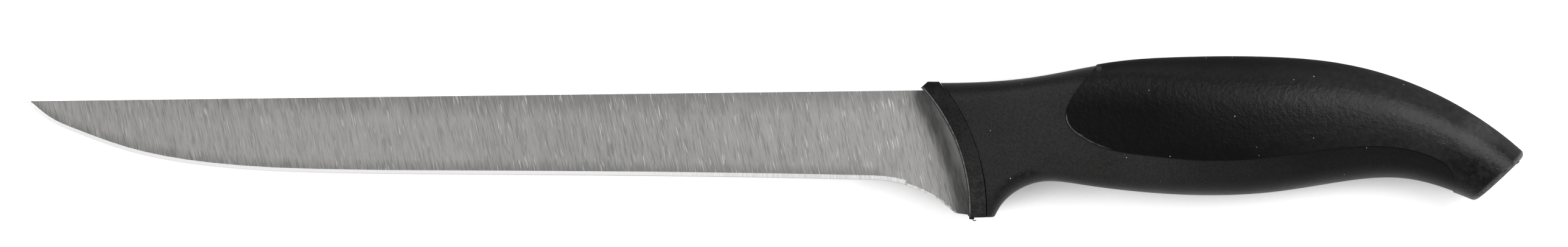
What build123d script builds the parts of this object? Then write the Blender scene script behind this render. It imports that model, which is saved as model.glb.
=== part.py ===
from build123d import *
import math
import os

os.makedirs("parts", exist_ok=True)

# A fillet knife with a slim ground blade and a moulded handle of hard and soft plastic.
# It lies on its side: X runs from the tip to the butt, Y to the spine, and Z through the thickness.
# The blade's spine is the line Y = 0, and its middle plane is Z = 0, until the finished knife is shifted
# so that its origin is the middle of the underside of its box.

# Blade, in millimetres
exposed_spine = 191.6       # tip to the collar, along the spine
edge_length = 180.6         # tip to the start of the choil
blade_depth = 19.0          # spine to edge at the heel
stock = 1.8                 # blank, as rolled
rear_thickness = 1.7        # ground spine at the handle
tip_thickness = 0.84        # ground spine at the tip
heel_edge_thickness = 0.8   # ground face, just above the bevel at the heel
bevel_width = 0.78
bevel_heel_width = 0.95
bevel_runout = 7.1          # bevel beyond the start of the choil
choil_radius = 26.0
edge_slope = 1.5            # degrees, of the edge at the heel
tip_setback = 0.8           # where the ground face starts behind the point
wheel_radius = 25.0         # grinding wheel that leaves the plunge
plunge_top = 190.2          # tip to the plunge, on the spine
plunge_slant = 20.0         # degrees from square to the spine

# Tang, hidden in the handle
tang_length = 82.0          # beyond the exposed spine
tang_drop = 2.6             # below the spine line
tang_rear_width = 9.0
tang_heel_reach = 4.6       # heel of the blank inside the guard, behind the end of the choil
tang_heel_rise = 2.0        # above the bottom of the guard
tang_step = 15.6            # depth of the tang's lower edge above the finger notch
choil_foot_rise = 0.95      # end of the choil above the bottom of the guard
foot_reach = 3.4            # foot of the blank inside the collar, behind the end of the choil
foot_rise = 0.45            # above the bottom of the guard
lock_hole = 6.0
lock_hole_shares = [0.36, 0.6, 0.84]

# Handle
handle_depth = 33.9         # back of the palm swell to the bottom of the guard
handle_length = 128.0
handle_thickness = 21.6
guard_share = 0.8038        # of the depth, spine line to the bottom of the guard
soft_wall = 2.7             # soft cover over the hard core
ledge = 0.25                # soft parts stand proud of the hard ones
butt_angle = 42.1           # degrees, end face to the spine
butt_share = 0.4543         # of the depth, spine line to the upper corner of the end face
soft_hole = 5.0             # holes in the core that the soft cover fills
soft_hole_shares = [(0.728, -0.251), (0.836, -0.344)]

guard_drop = guard_share * handle_depth
butt_drop = butt_share * handle_depth

# Collar at the front of the handle
collar_radius = 39.1
collar_width = 3.8
collar_drop = 25.2          # centre of its arcs below the spine line
collar_lip = 1.3            # soft lip in front of the core's nose
collar_gap = 0.2            # groove between the collar and the neck
nose_setback = 0.65         # flat that blunts the collar's upper front corner: in front of the exposed spine's end
nose_rise = 0.5             # and above the spine line
nose_angle = 221.8          # degrees, the flat to the spine, facing forward

# Roundings
rim_round = 0.6
guard_round = 0.7
butt_round = 1.1
overrun = 40.0              # cutters reach past what they cut
touch = 0.01                # how near an edge lies to the face it belongs to

# Edge of the blade, from the tip to the heel: along the edge length, and down the blade depth
edge_shares = [
    (0.0, 0.0), (0.0095, -0.099), (0.0264, -0.224), (0.054, -0.349), (0.112, -0.556), (0.169, -0.690),
    (0.2265, -0.770), (0.284, -0.818), (0.342, -0.845), (0.586, -0.896), (0.831, -0.948), (1.0, -1.0),
]

# Sections of the handle from the collar to the butt. Each stands on a line from its highest to its
# lowest point in the side view: highest point along and up, lowest point along and up, half thickness.
station_shares = [
    (-0.026, 0.034, -0.021, -0.887, 0.318),
    (0.008, 0.047, 0.077, -0.903, 0.337),
    (0.090, 0.0465, 0.111, -0.832, 0.344),
    (0.161, 0.064, 0.132, -0.702, 0.348),
    (0.226, 0.101, 0.184, -0.591, 0.358),
    (0.302, 0.151, 0.259, -0.605, 0.382),
    (0.424, 0.183, 0.406, -0.672, 0.458),
    (0.582, 0.177, 0.579, -0.668, 0.488),
    (0.739, 0.095, 0.717, -0.597, 0.457),
    (0.868, -0.095, 0.803, -0.593, 0.413),
    (0.983, -0.391, 0.887, -0.684, 0.359),
    (1.073, -0.661, 0.967, -0.848, 0.309),
]

# How square each section is, above and below its widest line: 2 is an ellipse
station_powers = [
    (6.0, 5.0), (6.0, 5.0), (6.0, 5.0), (6.0, 4.6), (5.0, 4.2), (3.8, 3.7), (2.6, 3.0), (2.3, 2.5),
    (2.3, 2.4), (2.3, 2.4), (2.3, 2.4), (2.3, 2.4),
]
section_points = 24

# Seam between the hard neck and belly and the soft grip, from above the back to below the belly
seam_shares = [
    (0.316, 0.264), (0.290, 0.150), (0.256, 0.002), (0.235, -0.193), (0.271, -0.332), (0.363, -0.423),
    (0.462, -0.461), (0.574, -0.445), (0.686, -0.395), (0.774, -0.391), (0.838, -0.449), (0.875, -0.550),
    (0.882, -0.656), (0.882, -0.830),
]


def place(along_share, up_share):
    # a point of the handle in the side view
    return Vector(exposed_spine + handle_length * along_share, handle_depth * up_share, 0)


# The ground face is one plane that comes nearer the middle towards the tip and towards the edge
ground_slope_x = (rear_thickness - tip_thickness) / 2 / exposed_spine
ground_slope_y = (rear_thickness - heel_edge_thickness) / 2 / blade_depth


def on_ground(point):
    height = tip_thickness / 2 + ground_slope_x * point.X + ground_slope_y * point.Y
    return Vector(point.X, point.Y, height)


def side_prism(edges):
    # a prism through the whole thickness over a closed outline in the side view
    return Pos(0, 0, -overrun) * extrude(Face(Wire(edges)), amount=2 * overrun, dir=(0, 0, 1))


def half_space(corner, degrees):
    # everything beyond a line through the corner that leans by the angle from the spine
    block = Box(4 * overrun, 8 * overrun, 2 * overrun, align=(Align.MIN, Align.CENTER, Align.CENTER))
    return Pos(corner.X, corner.Y, 0) * Rot(0, 0, degrees - 90) * block


def below(depth):
    # everything under a depth below the spine line
    size = handle_length + 2 * overrun
    block = Box(2 * size, size, 2 * overrun, align=(Align.CENTER, Align.MAX, Align.CENTER))
    return Pos(exposed_spine, -depth, 0) * block


# Choil: an arc that leaves the edge at the heel and runs down to the guard
edge_turn = math.radians(edge_slope)
choil_x = edge_length - choil_radius * math.sin(edge_turn)
choil_y = -blade_depth - choil_radius * math.cos(edge_turn)
bevel_turn = edge_turn + bevel_runout / choil_radius
choil_drop = guard_drop - choil_foot_rise
choil_turn = math.acos((-choil_drop - choil_y) / choil_radius)


def choil_point(turn, inset=0.0):
    radius = choil_radius + inset
    return Vector(choil_x + radius * math.sin(turn), choil_y + radius * math.cos(turn), 0)


def edge_points(inset):
    # the edge from tip to heel, moved in by a bevel that widens towards the heel
    points = []
    for index, (along, down) in enumerate(edge_shares):
        before = edge_shares[max(index - 1, 0)]
        after = edge_shares[min(index + 1, len(edge_shares) - 1)]
        run = edge_length * (after[0] - before[0])
        fall = blade_depth * (after[1] - before[1])
        width = (bevel_width + (bevel_heel_width - bevel_width) * along) * inset
        length = math.hypot(run, fall)
        x = edge_length * along - width * fall / length
        y = blade_depth * down + width * run / length
        points.append(Vector(x, y, 0))
    points[0] = Vector(tip_setback * inset, 0, 0)
    points[-1] = choil_point(edge_turn, bevel_heel_width * inset)
    return points


def ground_half():
    # one side of the blade as far as its bevel goes, from the middle plane to the ground face
    wires = []
    for inset in (0, 1):
        width = bevel_heel_width * inset
        edge = edge_points(inset)
        last_turn = math.asin(choil_radius * math.sin(bevel_turn) / (choil_radius + width))
        choil = [choil_point(turn, width) for turn in (last_turn, (last_turn + edge_turn) / 2, edge_turn)]
        points = [edge[0], Vector(choil[0].X, 0, 0)] + choil
        if inset:
            points = [on_ground(point) for point in points]
            edge = [on_ground(point) for point in edge]
        wires.append(Wire([
            Edge.make_line(points[0], points[1]),
            Edge.make_line(points[1], points[2]),
            Edge.make_spline(points[2:]),
            Edge.make_spline(edge[::-1]),
        ]))
    return Solid.make_loft(wires, ruled=True)


def rear_half():
    # one side of the blank behind the bevel: choil, ricasso and hidden tang, with the plunge ground in
    bevel_end = choil_point(bevel_turn)
    choil_middle = choil_point((bevel_turn + choil_turn) / 2)
    choil_end = choil_point(choil_turn)
    heel_y = -guard_drop + tang_heel_rise
    tang_end = exposed_spine + tang_length
    shoulder = exposed_spine + collar_width
    heel_x = choil_end.X + tang_heel_reach
    lower = [
        choil_end,
        Vector(choil_end.X + foot_reach, -guard_drop + foot_rise, 0),
        Vector(heel_x, heel_y, 0),
        Vector(heel_x + tang_heel_rise, -tang_step, 0),
        Vector(tang_end, -tang_drop - tang_rear_width, 0),
        Vector(tang_end, -tang_drop, 0),
        Vector(shoulder + tang_drop, -tang_drop, 0),
        Vector(shoulder, 0, 0),
        Vector(bevel_end.X, 0, 0),
        bevel_end,
    ]
    edges = [Edge.make_three_point_arc(bevel_end, choil_middle, choil_end)]
    edges += [Edge.make_line(a, b) for a, b in zip(lower, lower[1:])]
    blank = extrude(Face(Wire(edges)), amount=stock / 2, dir=(0, 0, 1))
    slant = math.radians(plunge_slant)
    start = on_ground(Vector(plunge_top, 0, 0))
    lean = Vector(math.sin(slant), -math.cos(slant), 0) * blade_depth
    down = on_ground(Vector(plunge_top, 0, 0) + lean) - start
    normal = Vector(0, 0, 1) - Vector(ground_slope_x, ground_slope_y, 0)
    ground = Plane(origin=start, x_dir=down, z_dir=normal)
    block = Box(4 * overrun, overrun, overrun, align=(Align.CENTER, Align.MAX, Align.MIN))
    wheel = Pos(0, 0, wheel_radius) * Rot(0, 90, 0) * Cylinder(wheel_radius, 4 * overrun)
    return blank - ground * block - ground * wheel


def section(index, grow):
    # one closed section of the handle, grown or shrunk all round
    along_top, up_top, along_low, up_low, half = station_shares[index]
    power_top, power_low = station_powers[index]
    top = place(along_top, up_top)
    low = place(along_low, up_low)
    up = (top - low).normalized()
    middle = (top + low) / 2
    height = (top - low).length / 2 + grow
    width = handle_thickness * half + grow
    points = []
    for step in range(section_points):
        angle = 2 * math.pi * step / section_points
        across, along = math.cos(angle), math.sin(angle)
        power = power_top if along > 0 else power_low
        reach = (abs(across) ** power + abs(along) ** power) ** (-1 / power)
        points.append(middle + up * (height * reach * along) + Vector(0, 0, width * reach * across))
    return Wire([Edge.make_spline(points, periodic=True)])


def skin(grow):
    # the handle's outer form, still open past the collar, the guard and the butt
    return Solid.make_loft([section(index, grow) for index in range(len(station_shares))])


# Cutters in the side view
collar_x = exposed_spine - math.sqrt(collar_radius ** 2 - collar_drop ** 2)
butt_corner = Vector(exposed_spine + handle_length, -butt_drop, 0)


def collar_disc(radius):
    # everything in front of an arc round the collar's centre
    return Pos(collar_x, -collar_drop, 0) * Cylinder(radius, 2 * overrun)


def behind_butt(inset):
    lean = math.radians(butt_angle)
    corner = butt_corner - Vector(math.sin(lean), -math.cos(lean), 0) * inset
    return half_space(corner, butt_angle)


def grip_region():
    # everything behind and above the seam
    seam = [place(along, up) for along, up in seam_shares]
    far = butt_corner.X + overrun
    corners = [seam[-1], Vector(far, seam[-1].Y, 0), Vector(far, seam[0].Y, 0), seam[0]]
    edges = [Edge.make_line(a, b) for a, b in zip(corners, corners[1:])]
    return side_prism([Edge.make_spline(seam)] + edges)


def on_arc(edge, radius):
    # whether an edge runs on an arc round the collar's centre
    places = [edge @ share for share in (0.1, 0.5, 0.9)]
    return all(abs(math.hypot(p.X - collar_x, p.Y + collar_drop) - radius) < touch for p in places)


def at_guard(edge):
    # whether an edge runs along the flat bottom of the guard
    return all(abs((edge @ share).Y + guard_drop) < touch for share in (0.1, 0.5, 0.9))


def make_blade():
    # the blank, one half mirrored, with holes in the tang that the core's plastic runs through
    half = ground_half() + rear_half()
    whole = half + mirror(half, about=Plane.XY)
    for share in lock_hole_shares:
        reach = tang_length * share
        width = tang_rear_width + (tang_step - tang_drop - tang_rear_width) * (1 - share)
        whole -= Pos(exposed_spine + reach, -tang_drop - width / 2, 0) * Cylinder(lock_hole / 2, 2 * stock)
    return whole


def make_kernel():
    # the hard plastic under the soft parts, with holes for the soft cover behind the tang
    kernel = skin(-soft_wall) - collar_disc(collar_radius + collar_lip)
    kernel = kernel - below(guard_drop - soft_wall) - behind_butt(soft_wall)
    for along, up in soft_hole_shares:
        spot = place(along, up)
        kernel -= Pos(spot.X, spot.Y, 0) * Cylinder(soft_hole / 2, 2 * handle_thickness)
    return kernel


def make_core(kernel, blade, region):
    # the hard neck and belly, one piece with the kernel
    neck = skin(0) - below(guard_drop)
    neck = fillet([edge for edge in neck.edges() if at_guard(edge)], guard_round)
    neck = neck - collar_disc(collar_radius + collar_width)
    return neck - region + kernel - blade


def make_collar(soft_skin, kernel, blade):
    # a soft band between two arcs, closed round the blade by a lip in front of the core's nose
    band = soft_skin & collar_disc(collar_radius + collar_width - collar_gap)
    band = band - collar_disc(collar_radius) - below(guard_drop)
    rim = [edge for edge in band.edges() if on_arc(edge, collar_radius)]
    band = fillet(rim, rim_round)
    nose = Vector(exposed_spine - nose_setback, nose_rise, 0)
    return band - half_space(nose, nose_angle) - kernel - blade


def make_grip(soft_skin, kernel, region):
    # the soft cover behind the seam, with a flat end face
    cover = soft_skin - behind_butt(0)
    end = max(cover.faces().filter_by(GeomType.PLANE), key=lambda face: face.center().X)
    cover = fillet(end.edges(), butt_round)
    return (cover & region) - kernel


blade = make_blade()
kernel = make_kernel()
region = grip_region()
soft_skin = skin(ledge)
pieces = {
    "blade": blade,
    "handle_core": make_core(kernel, blade, region),
    "front_collar": make_collar(soft_skin, kernel, blade),
    "grip": make_grip(soft_skin, kernel, region),
}

# Shift the finished knife so that its origin is the middle of the underside of its box
box = Compound(list(pieces.values())).bounding_box()
shift = Pos(-box.center().X, -box.center().Y, -box.min.Z)
print("shift of the origin", shift.position)
for name, piece in pieces.items():
    export_step(shift * piece, f"parts/{name}.step")
    print(name, "volume", round(piece.volume), "solids", len(piece.solids()), "valid", piece.is_valid)
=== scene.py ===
import math
import bmesh
import bpy
from mathutils import Matrix, Vector


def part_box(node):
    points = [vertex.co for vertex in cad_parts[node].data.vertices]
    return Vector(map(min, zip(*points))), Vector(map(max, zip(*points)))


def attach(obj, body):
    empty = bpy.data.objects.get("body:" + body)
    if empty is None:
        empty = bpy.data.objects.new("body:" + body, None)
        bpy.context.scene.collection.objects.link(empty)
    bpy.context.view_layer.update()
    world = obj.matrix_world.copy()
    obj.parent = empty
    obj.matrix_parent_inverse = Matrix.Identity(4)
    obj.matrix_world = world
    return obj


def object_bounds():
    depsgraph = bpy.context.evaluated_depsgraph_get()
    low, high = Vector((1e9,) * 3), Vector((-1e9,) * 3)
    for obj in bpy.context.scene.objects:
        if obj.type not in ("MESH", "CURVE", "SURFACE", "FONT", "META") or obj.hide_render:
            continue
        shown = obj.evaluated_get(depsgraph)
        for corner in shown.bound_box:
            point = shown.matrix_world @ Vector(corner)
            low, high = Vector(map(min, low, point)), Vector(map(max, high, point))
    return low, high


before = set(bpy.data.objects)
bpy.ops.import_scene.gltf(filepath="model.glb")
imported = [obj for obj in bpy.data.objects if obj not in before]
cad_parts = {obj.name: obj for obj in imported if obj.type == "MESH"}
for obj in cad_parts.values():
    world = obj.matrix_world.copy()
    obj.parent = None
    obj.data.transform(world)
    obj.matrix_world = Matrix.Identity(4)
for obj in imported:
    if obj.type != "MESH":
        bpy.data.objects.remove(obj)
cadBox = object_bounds()
print("frame loaded:", sorted(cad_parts))

mm = 0.001
bladeLow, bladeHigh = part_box("blade")
# the knife's own place: the point of the blade, on the spine line and the middle plane
knife = Vector((bladeLow.x, bladeHigh.y, (cadBox[0].z + cadBox[1].z) / 2))

# Camera

viewing = {
    "across": 334.9,        # mm of the object's plane across the picture
    "lens": 200.0,          # long, because the picture has next to no perspective
    "sensor": 36.0,
    "middle": (161.65, -6.727), # mm from the tip and the spine, under the middle of the picture
    "turn": -0.693,         # degrees, the knife lies a little askew
}


def makeCamera(v):
    camera = bpy.data.objects.new("camera", bpy.data.cameras.new("camera"))
    bpy.context.scene.collection.objects.link(camera)
    camera.data.lens = v["lens"]
    camera.data.sensor_width = v["sensor"]
    height = v["across"] * mm * v["lens"] / v["sensor"]
    camera.location = knife + Vector((v["middle"][0] * mm, v["middle"][1] * mm, height))
    camera.rotation_euler = (0, 0, math.radians(v["turn"]))
    camera.data.clip_start = 0.05
    camera.data.clip_end = 20
    bpy.context.scene.camera = camera


makeCamera(viewing)
print("camera set")


# Studio light

studio = {
    # brightness of the room by the height of the direction, from the horizon up to overhead
    "room": ((0.0, 0.10), (0.20, 0.20), (0.55, 0.36), (0.80, 0.33), (1.0, 0.29)),
    "backdropTop": (0.10, 0.26),    # height of the direction where the white backdrop ends
    "floorHalf": 3.0,       # m
    "floorDrop": 0.15,      # mm under the knife
    "floorTone": (0.75, 0.75, 0.75, 1.0),
    "floorMirrored": 0.35,  # share of the glow that metal shows, which makes white with the lit floor
    "shadeReach": 24.0,     # mm that the knife's near shade reaches
    "shadeGlow": ((0.30, 0.04), (0.50, 0.34), (0.62, 0.76)),    # open share of the sky, and the white's glow
}

# name: place (m), long side, short side (m), brightness of its face
lamps = {
    "keyLamp": ((0.43, 0.31, 0.61), 0.52, 0.44, 7.4),
    "frontLamp": ((-0.06, -0.62, 0.42), 1.10, 0.22, 0.6),
    "leftLamp": ((-0.50, -0.38, 0.26), 0.30, 0.16, 7.0),
}


def makeLamp(name, place, long, short, brightness):
    data = bpy.data.lights.new(name, "AREA")
    data.shape = "RECTANGLE"
    data.size, data.size_y = long, short
    data.energy = brightness * math.pi * long * short
    lamp = bpy.data.objects.new(name, data)
    lamp.location = place
    lamp.rotation_euler = (-Vector(place)).to_track_quat("-Z", "Y").to_euler()
    lamp.visible_camera = False
    bpy.context.scene.collection.objects.link(lamp)


def newTree(owner):
    owner.use_nodes = True
    owner.node_tree.nodes.clear()
    return owner.node_tree


def mathNode(tree, operation, first, second=None, clamp=False):
    node = tree.nodes.new("ShaderNodeMath")
    node.operation = operation
    node.use_clamp = clamp
    for socket, value in zip(node.inputs, (first, second)):
        if isinstance(value, (int, float)):
            socket.default_value = value
        elif value is not None:
            tree.links.new(value, socket)
    return node.outputs[0]


def rangeNode(tree, value, low, high, toLow, toHigh):
    node = tree.nodes.new("ShaderNodeMapRange")
    tree.links.new(value, node.inputs["Value"])
    for label, amount in (("From Min", low), ("From Max", high), ("To Min", toLow), ("To Max", toHigh)):
        if isinstance(amount, (int, float)):
            node.inputs[label].default_value = amount
        else:
            tree.links.new(amount, node.inputs[label])
    return node.outputs["Result"]


def backdropRays(tree, reach):
    # how much of the white backdrop shows: all of it to the camera,
    # and in metal and glass as far as it reaches
    rays = tree.nodes.new("ShaderNodeLightPath")
    mirrored = mathNode(tree, "MAXIMUM", rays.outputs["Is Glossy Ray"], rays.outputs["Is Transmission Ray"])
    mirrored = mathNode(tree, "MULTIPLY", mirrored, reach)
    return mathNode(tree, "MAXIMUM", rays.outputs["Is Camera Ray"], mirrored)


def makeWorld(s):
    world = bpy.data.worlds.new("studio")
    tree = newTree(world)
    add, join = tree.nodes.new, tree.links.new
    way = add("ShaderNodeTexCoord")
    height = add("ShaderNodeSeparateXYZ")
    ramp = add("ShaderNodeValToRGB")
    ramp.color_ramp.elements[0].position, ramp.color_ramp.elements[1].position = 0.0, 1.0
    for _ in s["room"][2:]:
        ramp.color_ramp.elements.new(0.5)
    for stop, (where, level) in zip(ramp.color_ramp.elements, s["room"]):
        stop.position, stop.color = where, (level, level, level, 1)
    soft = add("ShaderNodeBackground")
    join(way.outputs["Generated"], height.inputs[0])
    join(height.outputs["Z"], ramp.inputs["Fac"])
    join(ramp.outputs["Color"], soft.inputs["Color"])
    white = add("ShaderNodeBackground")
    white.inputs["Strength"].default_value = 1.0
    mix = add("ShaderNodeMixShader")
    end = add("ShaderNodeOutputWorld")
    reach = rangeNode(tree, height.outputs["Z"], s["backdropTop"][0], s["backdropTop"][1], 1.0, 0.0)
    join(backdropRays(tree, reach), mix.inputs[0])
    join(soft.outputs[0], mix.inputs[1])
    join(white.outputs[0], mix.inputs[2])
    join(mix.outputs[0], end.inputs["Surface"])
    white.inputs["Color"].default_value = (1, 1, 1, 1)
    bpy.context.scene.world = world


def makeFloor(s):
    shape = bmesh.new()
    bmesh.ops.create_grid(shape, x_segments=2, y_segments=2, size=s["floorHalf"])
    bmesh.ops.translate(shape, vec=(0, 0, cadBox[0].z - s["floorDrop"] * mm), verts=shape.verts)
    mesh = bpy.data.meshes.new("floor")
    shape.to_mesh(mesh)
    shape.free()
    floor = bpy.data.objects.new("floor", mesh)
    bpy.context.scene.collection.objects.link(floor)
    paper = bpy.data.materials.new("floorPaper")
    tree = newTree(paper)
    add, join = tree.nodes.new, tree.links.new
    matt = add("ShaderNodeBsdfDiffuse")
    matt.inputs["Color"].default_value = s["floorTone"]
    glow = add("ShaderNodeEmission")
    glow.inputs["Color"].default_value = (1, 1, 1, 1)
    sky = add("ShaderNodeAmbientOcclusion")
    sky.samples = 16
    sky.inputs["Distance"].default_value = s["shadeReach"] * mm
    (dark, darkGlow), (half, halfGlow), (clear, clearGlow) = s["shadeGlow"]
    deepShade = rangeNode(tree, sky.outputs["AO"], dark, half, darkGlow, halfGlow)
    thinShade = rangeNode(tree, sky.outputs["AO"], half, clear, 0.0, clearGlow - halfGlow)
    rise = mathNode(tree, "ADD", deepShade, thinShade)
    both = add("ShaderNodeAddShader")
    end = add("ShaderNodeOutputMaterial")
    join(mathNode(tree, "MULTIPLY", backdropRays(tree, s["floorMirrored"]), rise), glow.inputs["Strength"])
    join(matt.outputs[0], both.inputs[0])
    join(glow.outputs[0], both.inputs[1])
    join(both.outputs[0], end.inputs["Surface"])
    mesh.materials.append(paper)


makeWorld(studio)
makeFloor(studio)
for lampName, lampFacts in lamps.items():
    makeLamp(lampName, *lampFacts)
bpy.context.scene.view_settings.view_transform = "Standard"
print("studio lit")


# Shader groups that several finishes share

patterns = {
    "dustChance": 0.45,         # cells with a random number above this have a speck
    # shares of the grain's own scale, and how deep its pits are
    "pitScale": 0.45, "pitDepth": 0.6, "mottleScale": 0.36,
    "patchRange": (0.35, 0.65), "fleckShares": (0.35, 0.65), "fleckRange": (0.40, 0.62),
    "broadScale": 0.50, "lineShares": (0.45, 0.55), "lineRange": (0.40, 0.60),
    "scratchScale": 0.83, "scratchRange": (0.63, 0.71),
    "rimEnds": (0.6, 1.0),      # share of the stretch where a rim line starts to fade, and its end
    "rimBreakScale": 900.0, "rimBreakRange": (0.35, 0.6), "rimLeft": 0.35,     # how fine the noise that breaks up the line is, and what it leaves of the line
}

def newGroup(name, entries, exits):
    group = bpy.data.node_groups.new(name, "ShaderNodeTree")
    for label, kind, value in entries:
        socket = group.interface.new_socket(label, in_out="INPUT", socket_type=kind)
        if value is not None:
            socket.default_value = value
    for label, kind in exits:
        group.interface.new_socket(label, in_out="OUTPUT", socket_type=kind)
    return group, group.nodes.new("NodeGroupInput"), group.nodes.new("NodeGroupOutput")


def noiseNode(tree, place, scale, detail=3.0, roughness=0.55):
    node = tree.nodes.new("ShaderNodeTexNoise")
    node.inputs["Detail"].default_value = detail
    node.inputs["Roughness"].default_value = roughness
    tree.links.new(place, node.inputs["Vector"])
    if isinstance(scale, (int, float)):
        node.inputs["Scale"].default_value = scale
    else:
        tree.links.new(scale, node.inputs["Scale"])
    return node.outputs["Fac"]


def mixColours(tree, factor, first, second):
    node = tree.nodes.new("ShaderNodeMix")
    node.data_type = "RGBA"
    for socket, value in ((node.inputs[0], factor), (node.inputs[6], first), (node.inputs[7], second)):
        if isinstance(value, (int, float, tuple)):
            socket.default_value = value
        else:
            tree.links.new(value, socket)
    return node.outputs[2]


def makeDustGroup():
    # pale specks that lie on the moulded parts
    group, start, end = newGroup(
        "dustSpecks",
        [
            ("Vector", "NodeSocketVector", None),
            ("Cells", "NodeSocketFloat", 480.0),
            ("Size", "NodeSocketFloat", 0.07),
        ],
        [("Mask", "NodeSocketFloat")],
    )
    cells = group.nodes.new("ShaderNodeTexVoronoi")
    group.links.new(start.outputs["Vector"], cells.inputs["Vector"])
    group.links.new(start.outputs["Cells"], cells.inputs["Scale"])
    chance = group.nodes.new("ShaderNodeSeparateColor")
    group.links.new(cells.outputs["Color"], chance.inputs["Color"])
    kept = mathNode(group, "GREATER_THAN", chance.outputs["Red"], patterns["dustChance"])
    size = mathNode(group, "MULTIPLY", start.outputs["Size"], chance.outputs["Green"])
    near = mathNode(group, "LESS_THAN", cells.outputs["Distance"], size)
    group.links.new(mathNode(group, "MULTIPLY", kept, near), end.inputs["Mask"])
    return group


def makeMouldGroup():
    # fine spark-eroded mould grain, with broad patches where it is rubbed smoother
    group, start, end = newGroup(
        "mouldGrain",
        [
            ("Vector", "NodeSocketVector", None),
            ("Grain", "NodeSocketFloat", 3000.0),
            ("Patches", "NodeSocketFloat", 90.0),
        ],
        [("Height", "NodeSocketFloat"), ("Patch", "NodeSocketFloat"), ("Fleck", "NodeSocketFloat")],
    )
    fine = noiseNode(group, start.outputs["Vector"], start.outputs["Grain"], 2.0, 0.6)
    pits = group.nodes.new("ShaderNodeTexVoronoi")
    group.links.new(start.outputs["Vector"], pits.inputs["Vector"])
    pitScale = mathNode(group, "MULTIPLY", start.outputs["Grain"], patterns["pitScale"])
    group.links.new(pitScale, pits.inputs["Scale"])
    pitDepth = mathNode(group, "MULTIPLY", pits.outputs["Distance"], patterns["pitDepth"])
    height = mathNode(group, "ADD", fine, pitDepth)
    mottleScale = mathNode(group, "MULTIPLY", start.outputs["Grain"], patterns["mottleScale"])
    mottle = noiseNode(group, start.outputs["Vector"], mottleScale, 2.0, 0.6)
    patch = noiseNode(group, start.outputs["Vector"], start.outputs["Patches"], 4.0, 0.6)
    group.links.new(height, end.inputs["Height"])
    group.links.new(rangeNode(group, patch, *patterns["patchRange"], 0.0, 1.0), end.inputs["Patch"])
    fineShare, mottleShare = patterns["fleckShares"]
    fleck = mathNode(group, "ADD", mathNode(group, "MULTIPLY", fine, fineShare),
                     mathNode(group, "MULTIPLY", mottle, mottleShare))
    group.links.new(rangeNode(group, fleck, *patterns["fleckRange"], 0.0, 1.0), end.inputs["Fleck"])
    return group


def makeLineGroup():
    # long fine scratches that all run one way, as a belt leaves them, and a few bright ones
    group, start, end = newGroup(
        "grindLines",
        [("Vector", "NodeSocketVector", None), ("Pitch", "NodeSocketFloat", 1.0)],
        [("Height", "NodeSocketFloat"), ("Tone", "NodeSocketFloat"), ("Scratch", "NodeSocketFloat")],
    )
    stretch = group.nodes.new("ShaderNodeVectorMath")
    stretch.operation = "SCALE"
    group.links.new(start.outputs["Vector"], stretch.inputs[0])
    group.links.new(start.outputs["Pitch"], stretch.inputs["Scale"])
    fine = noiseNode(group, stretch.outputs[0], 1.0, 3.0, 0.65)
    broad = noiseNode(group, stretch.outputs[0], patterns["broadScale"], 2.0, 0.55)
    group.links.new(fine, end.inputs["Height"])
    fineShare, broadShare = patterns["lineShares"]
    tone = mathNode(group, "ADD", mathNode(group, "MULTIPLY", fine, fineShare),
                    mathNode(group, "MULTIPLY", broad, broadShare))
    group.links.new(rangeNode(group, tone, *patterns["lineRange"], 0.0, 1.0), end.inputs["Tone"])
    single = noiseNode(group, stretch.outputs[0], patterns["scratchScale"], 1.0, 0.4)
    scratch = rangeNode(group, single, *patterns["scratchRange"], 0.0, 1.0)
    group.links.new(scratch, end.inputs["Scratch"])
    return group


def makeRimGroup():
    # a thin line painted along a curved rim, for painted highlights and painted shade: an arc's centre and
    # radius, in metres, how far outside it the line lies and how wide it is, in millimetres, and the stretch
    # of it round an anchor
    group, start, end = newGroup(
        "rimLine",
        [
            ("Vector", "NodeSocketVector", None),
            ("Centre", "NodeSocketVector", None),
            ("Radius", "NodeSocketFloat", 0.03),
            ("Inset", "NodeSocketFloat", 0.2),
            ("Width", "NodeSocketFloat", 0.2),
            ("Anchor", "NodeSocketVector", None),
            ("Stretch", "NodeSocketFloat", 1.0),
        ],
        [("Mask", "NodeSocketFloat")],
    )
    flat = group.nodes.new("ShaderNodeVectorMath")
    flat.operation = "MULTIPLY"
    flat.inputs[1].default_value = (1, 1, 0)
    group.links.new(start.outputs["Vector"], flat.inputs[0])
    spans = []
    for label in ("Centre", "Anchor"):
        span = group.nodes.new("ShaderNodeVectorMath")
        span.operation = "DISTANCE"
        group.links.new(flat.outputs[0], span.inputs[0])
        group.links.new(start.outputs[label], span.inputs[1])
        spans.append(span.outputs["Value"])
    depth = mathNode(group, "SUBTRACT", spans[0], start.outputs["Radius"])
    depth = mathNode(group, "MULTIPLY", depth, 1 / mm)
    off = mathNode(group, "ABSOLUTE", mathNode(group, "SUBTRACT", depth, start.outputs["Inset"]))
    off = mathNode(group, "DIVIDE", off, start.outputs["Width"])
    line = mathNode(group, "SUBTRACT", 1.0, off, clamp=True)
    reach = mathNode(group, "MULTIPLY", spans[1], 1 / mm)
    reach = mathNode(group, "DIVIDE", reach, start.outputs["Stretch"])
    line = mathNode(group, "MULTIPLY", line, rangeNode(group, reach, *patterns["rimEnds"], 1.0, 0.0))
    breakup = noiseNode(group, start.outputs["Vector"], patterns["rimBreakScale"], 2.0, 0.6)
    left = rangeNode(group, breakup, *patterns["rimBreakRange"], patterns["rimLeft"], 1.0)
    line = mathNode(group, "MULTIPLY", line, left)
    group.links.new(line, end.inputs["Mask"])
    return group


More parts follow.
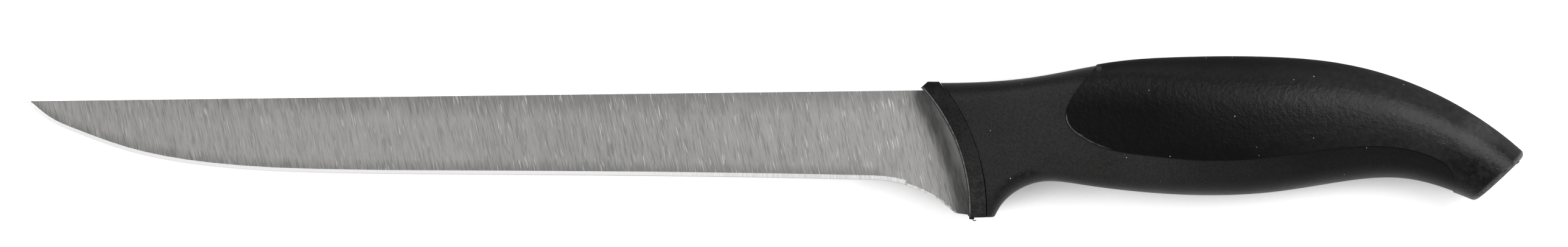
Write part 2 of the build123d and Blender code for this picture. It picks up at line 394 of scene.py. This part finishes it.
def makePartingGroup():
    # the fine raised line that the two halves of a mould leave, on the knife's middle plane
    group, start, end = newGroup(
        "partingLine",
        [("Vector", "NodeSocketVector", None), ("Half", "NodeSocketFloat", 0.09)],
        [("Mask", "NodeSocketFloat")],
    )
    spot = group.nodes.new("ShaderNodeSeparateXYZ")
    group.links.new(start.outputs["Vector"], spot.inputs[0])
    off = mathNode(group, "ABSOLUTE", mathNode(group, "MULTIPLY", spot.outputs["Z"], 1 / mm))
    line = mathNode(group, "SUBTRACT", 1.0, mathNode(group, "DIVIDE", off, start.outputs["Half"]), clamp=True)
    group.links.new(line, end.inputs["Mask"])
    return group


dustSpecks = makeDustGroup()
mouldGrain = makeMouldGroup()
grindLines = makeLineGroup()
rimLine = makeRimGroup()
partingLine = makePartingGroup()
print("shader groups made")


# Finishes

def newFinish(name):
    finish = bpy.data.materials.new(name)
    tree = newTree(finish)
    surface = tree.nodes.new("ShaderNodeBsdfPrincipled")
    end = tree.nodes.new("ShaderNodeOutputMaterial")
    tree.links.new(surface.outputs[0], end.inputs["Surface"])
    # patterns are placed from the tip, the spine and the middle plane
    place = tree.nodes.new("ShaderNodeTexCoord")
    here = tree.nodes.new("ShaderNodeVectorMath")
    here.operation = "SUBTRACT"
    here.inputs[1].default_value = knife
    tree.links.new(place.outputs["Object"], here.inputs[0])
    return finish, tree, surface, here.outputs[0], place.outputs["Normal"]


def useGroup(tree, group, place, **values):
    node = tree.nodes.new("ShaderNodeGroup")
    node.node_tree = group
    tree.links.new(place, node.inputs["Vector"])
    for label, value in values.items():
        node.inputs[label].default_value = value
    return node


def rimMask(tree, place, r):
    centre = (r["centre"][0] * mm, r["centre"][1] * mm, 0)
    anchor = (r["anchor"][0] * mm, r["anchor"][1] * mm, 0)
    line = useGroup(tree, rimLine, place, Centre=centre, Radius=r["radius"] * mm, Inset=r["inset"],
                    Width=r["width"], Anchor=anchor, Stretch=r["stretch"])
    return line.outputs["Mask"]


def turnedPlace(tree, place, degrees, scale):
    node = tree.nodes.new("ShaderNodeMapping")
    node.inputs["Rotation"].default_value = (0, 0, math.radians(degrees))
    turned = node.outputs[0]
    tree.links.new(place, node.inputs["Vector"])
    stretch = tree.nodes.new("ShaderNodeMapping")
    stretch.inputs["Scale"].default_value = scale
    tree.links.new(turned, stretch.inputs["Vector"])
    return stretch.outputs[0]


def bumpNode(tree, surface, height, strength, depth):
    node = tree.nodes.new("ShaderNodeBump")
    node.inputs["Strength"].default_value = strength
    node.inputs["Distance"].default_value = depth
    tree.links.new(height, node.inputs["Height"])
    tree.links.new(node.outputs[0], surface.inputs["Normal"])


# every place is in mm from the tip, along the spine, and from the spine line, up
steel = {
    "edgeLength": 180.6, "depth": 19.0, # tip to heel, and spine to edge at the heel
    # the edge: along the edge length, and down the depth
    "edge": ((0.0, 0.0), (0.026, 0.224), (0.054, 0.349), (0.112, 0.556), (0.169, 0.690), (0.2265, 0.770),
             (0.284, 0.818), (0.342, 0.845), (0.586, 0.896), (1.0, 1.0)),
    "dark": (0.37, 0.367, 0.361, 1), "light": (0.95, 0.94, 0.925, 1),
    "scratch": (1.0, 0.99, 0.98, 1),
    "fade": (70.0, 120.0, 0.18),    # from here to there the face grows darker by so much
    # painted glint: the bevel's near-white tones stand in for the bright light it mirrors, turning grey
    # towards the heel
    "bevelGlintDark": (0.97, 0.97, 0.97, 1), "bevelGlintLight": (1.0, 1.0, 1.0, 1),
    "bevelHeel": (125.0, 165.0), "bevelGrey": ((0.72, 0.72, 0.715, 1), (0.93, 0.93, 0.93, 1)),
    # painted shade in and behind the plunge, where the dark collar is reflected, over a darker grind
    "plungeShade": (0.21, 0.21, 0.207, 1),    # in the plunge
    "rearShade": (0.44, 0.435, 0.43, 1),     # behind the plunge
    "lineTurn": -11.0,      # degrees that the grind lines lean
    "roughFace": (0.30, 0.48), "roughBevel": (0.30, 0.42), "roughPlunge": 0.16,
    "bevelMetal": 0.06,     # painted glint: the bevel is made to scatter light nearly like paper
    "burrBand": (0.9, 3.2), # above the edge, a darker band
    "plunge": (189.5, 198.5),   # where the plunge crosses the spine and the choil's foot
    # mm from the plunge's line, and how far it has gone dark
    "plungeFrom": -5.0, "plungeFall": ((-1.1, 0.42), (0.8, 1.0)),
    "plungeWidth": 2.4,     # its darkest part
    # how strongly lighter streaks cross the plunge, their tone, and where their noise starts and ends
    "smear": (0.22, (0.62, 0.615, 0.61, 1), (0.42, 0.62)),
    "rim": (0.02, 0.05), "rimGrey": (0.55, 0.55, 0.545, 1),  # half thickness of the very edge, and its tone
    "rimFades": (50.0, 130.0, 0.15),    # weak towards the tip: from, to, and what is left
    # how fine each noise is: across the lines, along them and through the thickness
    "lineStretch": (4300, 300, 300), "strokeStretch": (5200, 260, 260),
    "broadStretch": (420, 45, 45), "smearStretch": (1500, 260, 260),
    "lineShare": 0.85, "broadShare": 0.36, "scratchShare": 0.7,
    "burrDarker": 0.37,
    "spineBand": (0.3, 5.0), "spineDarker": 0.34,   # mm down from the spine, and how much darker
    "spineFades": (8.0, 60.0, 0.1),     # weak towards the tip: from, to, and what is left
    "cloud": 0.25,          # mm that the plunge wanders
    "bump": (0.35, 0.00002),
    # the choil's edge, with a painted glint along it
    "choil": {"centre": (179.92, -44.99), "radius": 26.0, "inset": 0.17, "width": 0.36,
              "anchor": (191.0, -22.0), "stretch": 18.0},
}


def makeSteel(s):
    finish, tree, surface, where, normal = newFinish("groundSteel")
    lines = useGroup(tree, grindLines, turnedPlace(tree, where, s["lineTurn"], s["lineStretch"]))
    strokes = useGroup(tree, grindLines, turnedPlace(tree, where, 0.0, s["strokeStretch"]))
    spot = tree.nodes.new("ShaderNodeSeparateXYZ")
    tree.links.new(where, spot.inputs[0])
    sides = tree.nodes.new("ShaderNodeSeparateXYZ")
    tree.links.new(normal, sides.inputs[0])
    # how far along, and height above the edge
    forward = mathNode(tree, "MULTIPLY", spot.outputs["X"], 1 / mm)
    down = mathNode(tree, "MULTIPLY", spot.outputs["Y"], -1 / mm)
    edge = tree.nodes.new("ShaderNodeFloatCurve")
    curve = edge.mapping.curves[0]
    for point, (share, drop) in zip((0, 1), (s["edge"][0], s["edge"][-1])):
        curve.points[point].location = (share, drop)
    for share, drop in s["edge"][1:-1]:
        curve.points.new(share, drop)
    edge.mapping.update()
    tree.links.new(rangeNode(tree, forward, 0.0, s["edgeLength"], 0.0, 1.0), edge.inputs["Value"])
    above = mathNode(tree, "SUBTRACT", mathNode(tree, "MULTIPLY", edge.outputs[0], s["depth"]), down)
    band = rangeNode(tree, above, s["burrBand"][0], s["burrBand"][1], 1.0, 0.0)
    ending = rangeNode(tree, forward, s["edgeLength"], s["edgeLength"] + 4, 1.0, 0.0)
    band = mathNode(tree, "MULTIPLY", band, ending)
    nearSpine = rangeNode(tree, down, *s["spineBand"], 1.0, 0.0)
    start, stop, left = s["spineFades"]
    nearSpine = mathNode(tree, "MULTIPLY", nearSpine, rangeNode(tree, forward, start, stop, left, 1.0))
    # painted shade behind the plunge, in patches: the dark collar reflected in the steel, over a darker grind
    lean = rangeNode(tree, down, 0.0, 24.0, *s["plunge"])
    clouds = noiseNode(tree, where, 260.0, 3.0, 0.5)
    behind = mathNode(tree, "SUBTRACT", forward, lean)
    behind = mathNode(tree, "ADD", behind, rangeNode(tree, clouds, 0.3, 0.7, -s["cloud"], s["cloud"]))
    (near, nearShare), (deep, deepShare) = s["plungeFall"]
    plunge = rangeNode(tree, behind, s["plungeFrom"], near, 0.0, nearShare)
    plunge = mathNode(tree, "ADD", plunge, rangeNode(tree, behind, near, deep, 0.0, deepShare - nearShare))
    leaving = rangeNode(tree, behind, s["plungeWidth"], s["plungeWidth"] + 1.6, 0.0, 1.0)
    broad = noiseNode(tree, turnedPlace(tree, where, s["lineTurn"], s["broadStretch"]), 1.0, 2.0, 0.5)
    shade = mathNode(tree, "ADD", mathNode(tree, "MULTIPLY", lines.outputs["Tone"], s["lineShare"]),
                     mathNode(tree, "MULTIPLY", broad, s["broadShare"]))
    shade = mathNode(tree, "SUBTRACT", shade, mathNode(tree, "MULTIPLY", band, s["burrDarker"]))
    fade = rangeNode(tree, forward, s["fade"][0], s["fade"][1], 0.0, s["fade"][2])
    shade = mathNode(tree, "SUBTRACT", shade, fade)
    nearSpine = mathNode(tree, "MULTIPLY", nearSpine, s["spineDarker"])
    shade = mathNode(tree, "SUBTRACT", shade, nearSpine, clamp=True)
    face = mixColours(tree, shade, s["dark"], s["light"])
    scratched = mathNode(tree, "MULTIPLY", lines.outputs["Scratch"], s["scratchShare"])
    face = mixColours(tree, scratched, face, s["scratch"])
    ground = mixColours(tree, leaving, s["plungeShade"], s["rearShade"])
    smears = noiseNode(tree, turnedPlace(tree, where, s["lineTurn"], s["smearStretch"]), 1.0, 3.0, 0.6)
    strength, smearTone, smearRange = s["smear"]
    ground = mixColours(tree, rangeNode(tree, smears, *smearRange, 0.0, strength), ground, smearTone)
    face = mixColours(tree, plunge, face, ground)
    choil = rangeNode(tree, rimMask(tree, where, s["choil"]), 0.2, 0.6, 0.0, 1.0)
    # painted glint on the bevel and along the choil's edge
    bevel = mathNode(tree, "MAXIMUM", rangeNode(tree, sides.outputs["Y"], -0.10, -0.16, 0.0, 1.0), choil)
    bevelGlint = mixColours(tree, strokes.outputs["Tone"], s["bevelGlintDark"], s["bevelGlintLight"])
    strokeGrey = mixColours(tree, strokes.outputs["Tone"], *s["bevelGrey"])
    bevelGlint = mixColours(tree, rangeNode(tree, forward, *s["bevelHeel"], 0.0, 1.0), bevelGlint, strokeGrey)
    colour = mixColours(tree, bevel, face, bevelGlint)
    thin = mathNode(tree, "ABSOLUTE", mathNode(tree, "MULTIPLY", spot.outputs["Z"], 1 / mm))
    start, stop, left = s["rimFades"]
    rim = mathNode(tree, "MULTIPLY", rangeNode(tree, thin, *s["rim"], 1.0, 0.0),
                   rangeNode(tree, forward, start, stop, left, 1.0))
    colour = mixColours(tree, rim, colour, s["rimGrey"])
    tree.links.new(colour, surface.inputs["Base Color"])
    roughFace = rangeNode(tree, lines.outputs["Tone"], 0.0, 1.0, s["roughFace"][1], s["roughFace"][0])
    roughEdge = rangeNode(tree, strokes.outputs["Tone"], 0.0, 1.0, s["roughBevel"][1], s["roughBevel"][0])
    roughFace = mathNode(tree, "ADD", roughFace, mathNode(tree, "MULTIPLY", plunge, s["roughPlunge"]))
    keep = mathNode(tree, "SUBTRACT", 1.0, bevel)
    rough = mathNode(tree, "ADD", mathNode(tree, "MULTIPLY", roughFace, keep),
                     mathNode(tree, "MULTIPLY", roughEdge, bevel))
    tree.links.new(rough, surface.inputs["Roughness"])
    tree.links.new(rangeNode(tree, bevel, 0.0, 1.0, 1.0, s["bevelMetal"]), surface.inputs["Metallic"])
    bumpNode(tree, surface, mathNode(tree, "MULTIPLY", lines.outputs["Height"], keep), *s["bump"])
    return finish


# what the three moulded finishes share
shared = {
    "toneShares": (0.35, 0.65),         # of the broad patches and of the flecks
    "backFades": (264.0, 290.0, 0.1),   # mm from the tip where the painted black back shade ends, and what is left
    "fadeOnBack": (-4.0, 3.0, 0.6),     # mm from the spine line, and how much of the fade stays above it
    "showing": (0.06, 0.35),            # lean of the surface where rim lines start to show
    "rubbedLean": (0.45, 0.92),         # lean of the surface where the hand's rubbing starts and is full
    "parting": (0.5, 0.12),             # the parting line: share of the light tone, and how much smoother
}

moulded = {
    "hardPlastic": {
        "dark": (0.0150, 0.0147, 0.0145, 1), "light": (0.0330, 0.0324, 0.0320, 1),
        "dust": (0.40, 0.40, 0.39, 1),
        "grain": 6000.0, "patches": 70.0, "rough": (0.34, 0.44), "rubbed": 0.0, "specular": 0.11,
        "back": (0.25, 0.80, 0.7),
        "bump": (0.30, 0.00005), "dustSize": 0.07,
        "fade": ("X", 234.0, 272.0, 0.35),  # darker along the belly: from, to, what is left
        "rims": (
            # painted shade in a soft dark band above the light foot of the finger notch, and painted light
            # along the bottom of the groove, where it covers the groove's shadow
            ({"centre": (216.9, -31.04), "radius": 11.09, "inset": 2.3, "width": 1.3,
              "anchor": (210.0, -20.6), "stretch": 8.0}, (0.007, 0.007, 0.007, 1)),
            ({"centre": (161.7, -25.2), "radius": 42.8, "inset": 0.0, "width": 0.14,
              "anchor": (199.0, -3.0), "stretch": 17.0}, (0.30, 0.30, 0.295, 1)),
        ),
    },
    "softCollar": {
        "dark": (0.0070, 0.0068, 0.0067, 1), "light": (0.0350, 0.0343, 0.0338, 1),
        "dust": (0.35, 0.35, 0.34, 1),
        "grain": 6500.0, "patches": 500.0, "rough": (0.58, 0.70), "rubbed": 0.3, "specular": 0.15,
        "back": (0.50, 0.80, 0.5),
        "bump": (0.45, 0.00008), "dustSize": 0.06,
        "fade": ("Y", -22.0, -6.0, 0.40),   # darker towards the back of the knife
        "rims": (
            # painted highlight along the front rim, and painted light along the bottom of the groove, where
            # it covers the groove's shadow
            ({"centre": (161.7, -25.2), "radius": 39.1, "inset": 0.16, "width": 0.20,
              "anchor": (198.0, -12.0), "stretch": 22.0}, (0.30, 0.30, 0.295, 1)),
            ({"centre": (161.7, -25.2), "radius": 42.8, "inset": 0.0, "width": 0.14,
              "anchor": (199.0, -3.0), "stretch": 17.0}, (0.30, 0.30, 0.295, 1)),
        ),
    },
    "softGrip": {
        "dark": (0.0090, 0.0088, 0.0087, 1), "light": (0.0220, 0.0216, 0.0212, 1),
        "dust": (0.36, 0.36, 0.35, 1),
        "grain": 1900.0, "patches": 55.0, "rough": (0.33, 0.42), "rubbed": 0.5, "specular": 0.155,
        "back": (0.58, 0.84, 1.0),
        "bump": (0.60, 0.00010), "dustSize": 0.07,
        "fade": ("X", 300.0, 260.0, 0.12),  # blacker towards the front; the lighter rear is partly a painted sheen under the highlight
        "rims": (
            # painted highlights along the lower front of the rim in two arcs, on a small nick at its top, in
            # a patch near the butt and along the edge of the end face, and painted shade in a dark patch near
            # the butt
            ({"centre": (226.34, -5.61), "radius": 4.75, "inset": -0.08, "width": 0.24,
              "anchor": (222.5, -8.4), "stretch": 3.4}, (0.17, 0.17, 0.166, 1)),
            ({"centre": (237.08, 8.29), "radius": 22.28, "inset": -0.10, "width": 0.26,
              "anchor": (224.6, -10.2), "stretch": 7.6}, (0.075, 0.075, 0.073, 1)),
            ({"centre": (228.8, 4.3), "radius": 0.0, "inset": 0.0, "width": 0.8,
              "anchor": (228.8, 4.3), "stretch": 2.0}, (0.085, 0.085, 0.083, 1)),
            ({"centre": (309.5, -11.2), "radius": 0.0, "inset": 0.0, "width": 6.5,
              "anchor": (309.5, -11.2), "stretch": 6.5}, (0.060, 0.059, 0.058, 1)),
            ({"centre": (308.0, -19.0), "radius": 0.0, "inset": 0.0, "width": 12.0,
              "anchor": (308.0, -19.0), "stretch": 12.0}, (0.002, 0.002, 0.002, 1)),
            ({"centre": (-3030.4, 3694.6), "radius": 4998.7, "inset": -0.45, "width": 0.80,
              "anchor": (314.5, -20.5), "stretch": 14.0}, (0.13, 0.13, 0.127, 1)),
        ),
    },
}


def makeMoulded(name, s):
    finish, tree, surface, where, normal = newFinish(name)
    surface.inputs["Specular IOR Level"].default_value = s["specular"]
    grain = useGroup(tree, mouldGrain, where, Grain=s["grain"], Patches=s["patches"])
    dust = useGroup(tree, dustSpecks, where, Size=s["dustSize"])
    parting = useGroup(tree, partingLine, where).outputs["Mask"]
    patchShare, fleckShare = shared["toneShares"]
    tone = mathNode(tree, "ADD", mathNode(tree, "MULTIPLY", grain.outputs["Patch"], patchShare),
                    mathNode(tree, "MULTIPLY", grain.outputs["Fleck"], fleckShare), clamp=True)
    colour = mixColours(tree, tone, s["dark"], s["light"])
    sides = tree.nodes.new("ShaderNodeSeparateXYZ")
    tree.links.new(normal, sides.inputs[0])
    # painted shade, blacker along the back: from and to which lean of the surface, and how much
    start, stop, share = s["back"]
    spot = tree.nodes.new("ShaderNodeSeparateXYZ")
    tree.links.new(where, spot.inputs[0])
    backed = rangeNode(tree, sides.outputs["Y"], start, stop, 0.0, share)
    start, stop, left = shared["backFades"]
    backed = mathNode(tree, "MULTIPLY", backed,
                      rangeNode(tree, spot.outputs["X"], start * mm, stop * mm, 1.0, left))
    colour = mixColours(tree, backed, colour, (0, 0, 0, 1))
    axis, start, stop, left = s["fade"]
    lost = rangeNode(tree, spot.outputs[axis], start * mm, stop * mm, 0.0, 1.0 - left)
    if axis == "X":     # less so along the back
        start, stop, left = shared["fadeOnBack"]
        onBack = rangeNode(tree, spot.outputs["Y"], start * mm, stop * mm, 1.0, left)
        lost = mathNode(tree, "MULTIPLY", lost, onBack)
    colour = mixColours(tree, lost, colour, (0, 0, 0, 1))
    level = mathNode(tree, "ABSOLUTE", sides.outputs["Z"])
    showing = rangeNode(tree, level, *shared["showing"], 0.0, 1.0)    # no rim line on upright faces
    for rim, rimTone in s["rims"]:
        mask = mathNode(tree, "MULTIPLY", rimMask(tree, where, rim), showing)
        colour = mixColours(tree, mask, colour, rimTone)
    partingTone, partingSmooth = shared["parting"]
    colour = mixColours(tree, mathNode(tree, "MULTIPLY", parting, partingTone), colour, s["light"])
    tree.links.new(mixColours(tree, dust.outputs["Mask"], colour, s["dust"]), surface.inputs["Base Color"])
    rough = rangeNode(tree, grain.outputs["Patch"], 0.0, 1.0, s["rough"][1], s["rough"][0])
    # duller along the back, where the hand rubs it
    rubbed = rangeNode(tree, sides.outputs["Y"], *shared["rubbedLean"], 0.0, s["rubbed"])
    rough = mathNode(tree, "ADD", rough, rubbed, clamp=True)
    smoother = mathNode(tree, "MULTIPLY", parting, partingSmooth)
    tree.links.new(mathNode(tree, "SUBTRACT", rough, smoother), surface.inputs["Roughness"])
    height = mathNode(tree, "ADD", grain.outputs["Height"], parting)
    bumpNode(tree, surface, height, *s["bump"])
    return finish


finishes = {"blade": makeSteel(steel)}
mouldedNodes = {"handle_core": "hardPlastic", "front_collar": "softCollar", "grip": "softGrip"}
for nodeName, finishName in mouldedNodes.items():
    finishes[nodeName] = makeMoulded(finishName, moulded[finishName])
for nodeName, finish in finishes.items():
    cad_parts[nodeName].material_slots[0].material = finish
print("finishes on the frame's own parts")


# Gate remains

gates = {
    # where it stands, mm from the tip and the spine; the way it points, degrees; half width and height, mm
    "collarGate": {"foot": (201.5, -27.15), "turn": -90.0, "half": 0.62, "height": 0.55, "curl": True,
                   "node": "front_collar", "slot": "collar_soft"},
    "buttGate": {"foot": (318.05, -16.70), "turn": -47.9, "half": 0.55, "height": 0.50, "curl": False,
                 "node": "grip", "slot": "grip_soft"},
}

# shares of a stump's half width and of its height
stump = {
    "topShare": 0.82, "roundShare": 0.25,       # half width at the top, and the rounding of its rim
    "depthShare": 1.5, "raiseShare": 0.25,      # whole height, with what is sunk in the part
    "curlThickShare": 0.16, "curlFromShare": 0.35, "curlCentreShare": 0.95, "curlHeightShare": 0.85,
    "curlTurn": 150,        # degrees
}


def makeGate(name, g):
    # a small torn stump of the moulding's gate, with a curl of the torn plastic on one of them
    half, height = g["half"] * mm, g["height"] * mm
    shape = bmesh.new()
    bmesh.ops.create_cone(shape, cap_ends=True, segments=20, radius1=half,
                          radius2=half * stump["topShare"], depth=height * stump["depthShare"])
    top = [edge for edge in shape.edges if all(vert.co.z > 0 for vert in edge.verts)]
    bmesh.ops.bevel(shape, geom=top, offset=half * stump["roundShare"], affect="EDGES", segments=3,
                    profile=0.5, material=-1)
    bmesh.ops.translate(shape, vec=(0, 0, height * stump["raiseShare"]), verts=shape.verts)
    if g["curl"]:
        curlHeight = height * stump["curlHeightShare"]
        ring = bmesh.ops.create_circle(shape, cap_ends=True, segments=8,
                                       radius=half * stump["curlThickShare"])["verts"]
        bmesh.ops.translate(shape, vec=(half * stump["curlFromShare"], 0, curlHeight), verts=ring)
        edges = {edge for vert in ring for edge in vert.link_edges}
        faces = {face for vert in ring for face in vert.link_faces}
        bmesh.ops.spin(shape, geom=ring + list(edges | faces),
                       cent=(half * stump["curlCentreShare"], 0, curlHeight), axis=(0, 1, 0), steps=10,
                       angle=math.radians(stump["curlTurn"]), use_duplicate=False)
    bmesh.ops.recalc_face_normals(shape, faces=shape.faces)
    pointing = Vector((math.cos(math.radians(g["turn"])), math.sin(math.radians(g["turn"])), 0))
    turn = Vector((0, 0, 1)).rotation_difference(pointing).to_matrix().to_4x4()
    place = knife + Vector((g["foot"][0] * mm, g["foot"][1] * mm, 0))
    bmesh.ops.transform(shape, matrix=Matrix.Translation(place) @ turn, verts=shape.verts)
    mesh = bpy.data.meshes.new(name)
    shape.to_mesh(mesh)
    shape.free()
    for face in mesh.polygons:
        face.use_smooth = True
    mesh.materials.append(finishes[g["node"]])
    gate = bpy.data.objects.new(name, mesh)
    bpy.context.scene.collection.objects.link(gate)
    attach(gate, "root")


for gateName, gateFacts in gates.items():
    makeGate(gateName, gateFacts)
print("gate remains made:", len(gates))
